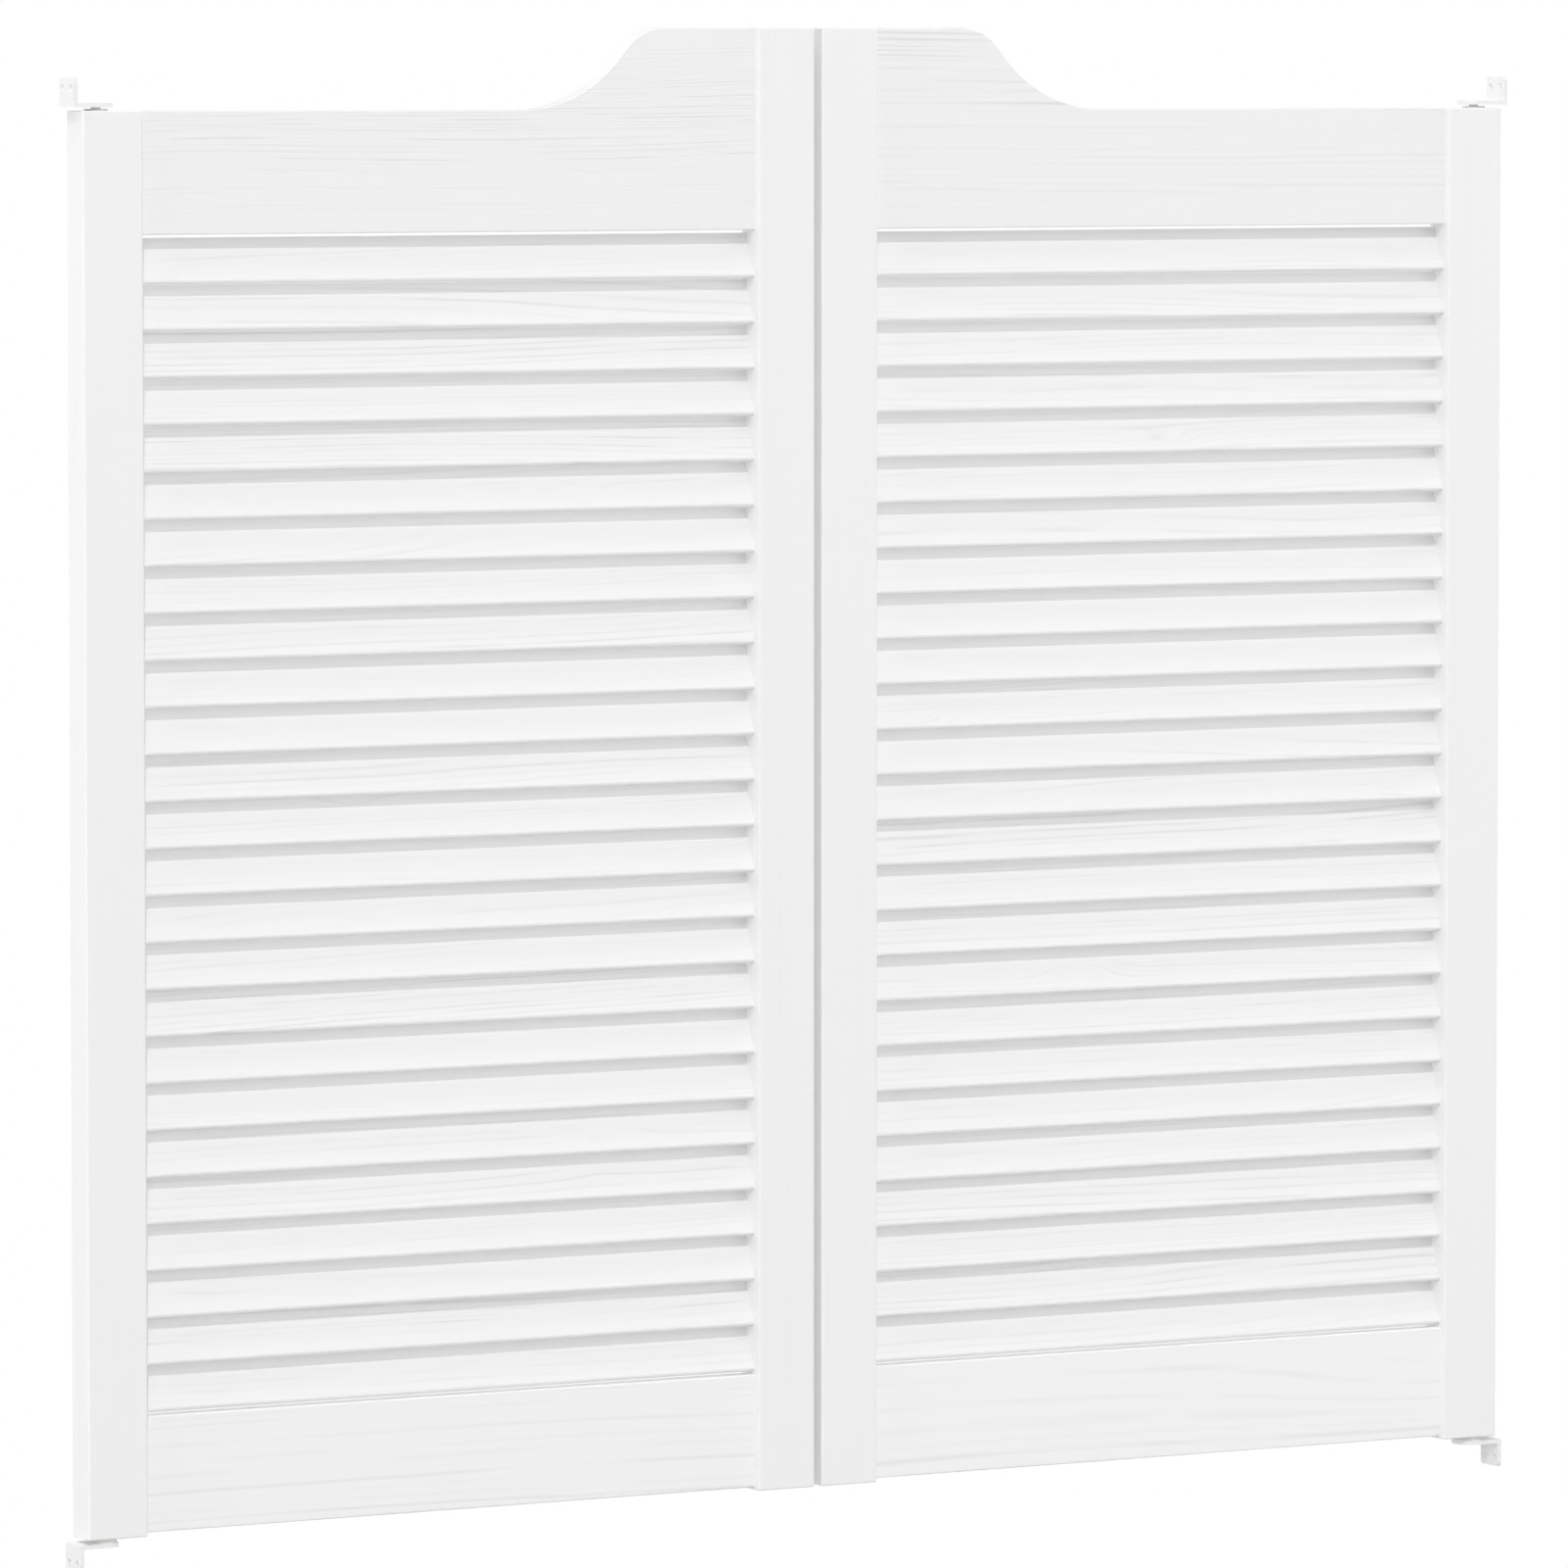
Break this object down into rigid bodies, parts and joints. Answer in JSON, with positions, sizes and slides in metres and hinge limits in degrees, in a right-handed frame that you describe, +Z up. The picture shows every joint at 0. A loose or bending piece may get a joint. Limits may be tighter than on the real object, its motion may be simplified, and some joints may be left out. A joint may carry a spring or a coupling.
{
  "type": "cafe swinging doors",
  "caption": "Short louvred swing doors in white-painted wood, with top rails that rise in an ogee to the meeting stiles, hung on sprung double-action pivots and jamb brackets.",
  "frame": {"origin": "middle of the bounding box of the whole pair, brackets included: midway between the jambs, on the middle plane of the leaves", "axes": "+X along the closed leaves towards the right leaf, +Z up; the front, where the slats slope down, faces -Y"},
  "size_m": [1.01, 0.0226, 0.92],
  "materials": {
    "painted_wood": "white satin paint over softwood, the grain still showing",
    "dowel_wood": "plain beech, unfinished",
    "bracket_paint": "white powder coat on steel",
    "pivot_steel": "turned, bright zinc",
    "spring_steel": "drawn wire",
    "bearing_nylon": "natural nylon"
  },
  "bodies": {
    "jamb_hardware": {"left_bottom_bracket": "bracket_paint", "left_spindle": "pivot_steel", "left_thrust_washer": "bearing_nylon", "left_top_bracket": "bracket_paint", "left_top_pin": "pivot_steel", "right_bottom_bracket": "bracket_paint", "right_spindle": "pivot_steel", "right_thrust_washer": "bearing_nylon", "right_top_bracket": "bracket_paint", "right_top_pin": "pivot_steel"},
    "left_leaf": {"left_bottom_rail": "painted_wood", "left_dowels": "dowel_wood", "left_foot_bush": "bearing_nylon", "left_head_rail": "painted_wood", "left_inner_stile": "painted_wood", "left_outer_stile": "painted_wood", "left_return_spring": "spring_steel", "left_slat_25": "painted_wood", "left_slats_01_02": "painted_wood", "left_slats_03_04": "painted_wood", "left_slats_05_06": "painted_wood", "left_slats_07_08": "painted_wood", "left_slats_09_10": "painted_wood", "left_slats_11_12": "painted_wood", "left_slats_13_14": "painted_wood", "left_slats_15_16": "painted_wood", "left_slats_17_18": "painted_wood", "left_slats_19_20": "painted_wood", "left_slats_21_22": "painted_wood", "left_slats_23_24": "painted_wood", "left_spring_sleeve": "pivot_steel", "left_top_bush": "bearing_nylon"},
    "right_leaf": {"right_bottom_rail": "painted_wood", "right_dowels": "dowel_wood", "right_foot_bush": "bearing_nylon", "right_head_rail": "painted_wood", "right_inner_stile": "painted_wood", "right_outer_stile": "painted_wood", "right_return_spring": "spring_steel", "right_slat_25": "painted_wood", "right_slats_01_02": "painted_wood", "right_slats_03_04": "painted_wood", "right_slats_05_06": "painted_wood", "right_slats_07_08": "painted_wood", "right_slats_09_10": "painted_wood", "right_slats_11_12": "painted_wood", "right_slats_13_14": "painted_wood", "right_slats_15_16": "painted_wood", "right_slats_17_18": "painted_wood", "right_slats_19_20": "painted_wood", "right_slats_21_22": "painted_wood", "right_slats_23_24": "painted_wood", "right_spring_sleeve": "pivot_steel", "right_top_bush": "bearing_nylon"}
  },
  "joints": [
    {"name": "left_swing", "type": "hinge", "parent": "jamb_hardware", "child": "left_leaf", "pos_m": [-0.486, 0, -0.43995], "axis": [0, 0, 1], "range_deg": [-90, 90], "stiffness_Nm_per_rad": 0.335},
    {"name": "right_swing", "type": "hinge", "parent": "jamb_hardware", "child": "right_leaf", "pos_m": [0.486, 0, -0.43995], "axis": [0, 0, 1], "range_deg": [-90, 90], "stiffness_Nm_per_rad": 0.335}
  ]
}
